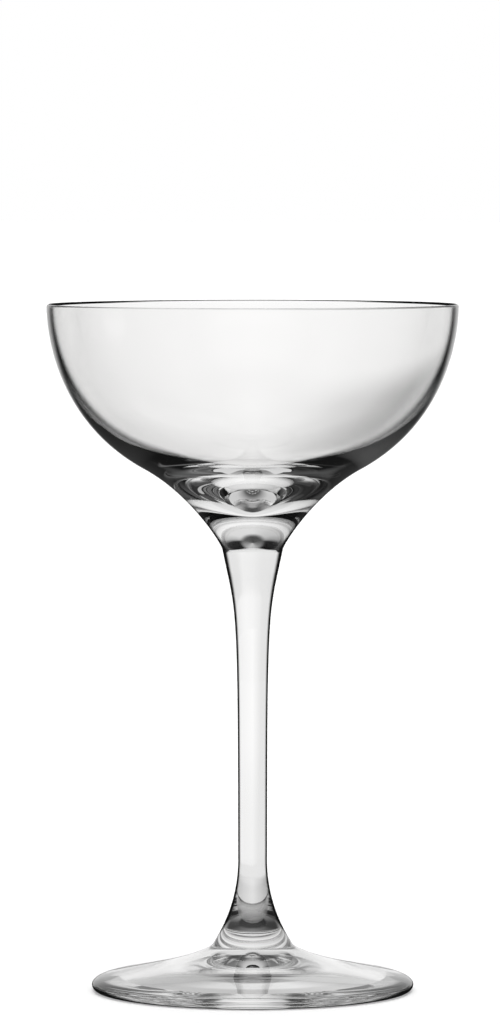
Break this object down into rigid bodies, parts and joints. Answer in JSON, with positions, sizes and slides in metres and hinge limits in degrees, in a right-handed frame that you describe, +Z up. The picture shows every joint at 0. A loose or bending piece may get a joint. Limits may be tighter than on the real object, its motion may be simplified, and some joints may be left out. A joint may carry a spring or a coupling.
{
  "type": "cocktail glass",
  "caption": "Clear coupe cocktail glass: a wide shallow thin-walled bowl on a slim drawn stem that flares into a round low conical foot.",
  "frame": {"origin": "centre of the flat ring under the foot, on the surface that the glass stands on", "axes": "+Z up along the axis that the glass is turned about, from the foot to the rim"},
  "size_m": [0.095, 0.095, 0.1587],
  "materials": {
    "clear_glass": "fire-polished, clear, neutral"
  },
  "bodies": {
    "root": {"bowl": "clear_glass", "stem": "clear_glass", "foot": "clear_glass"}
  },
  "joints": []
}
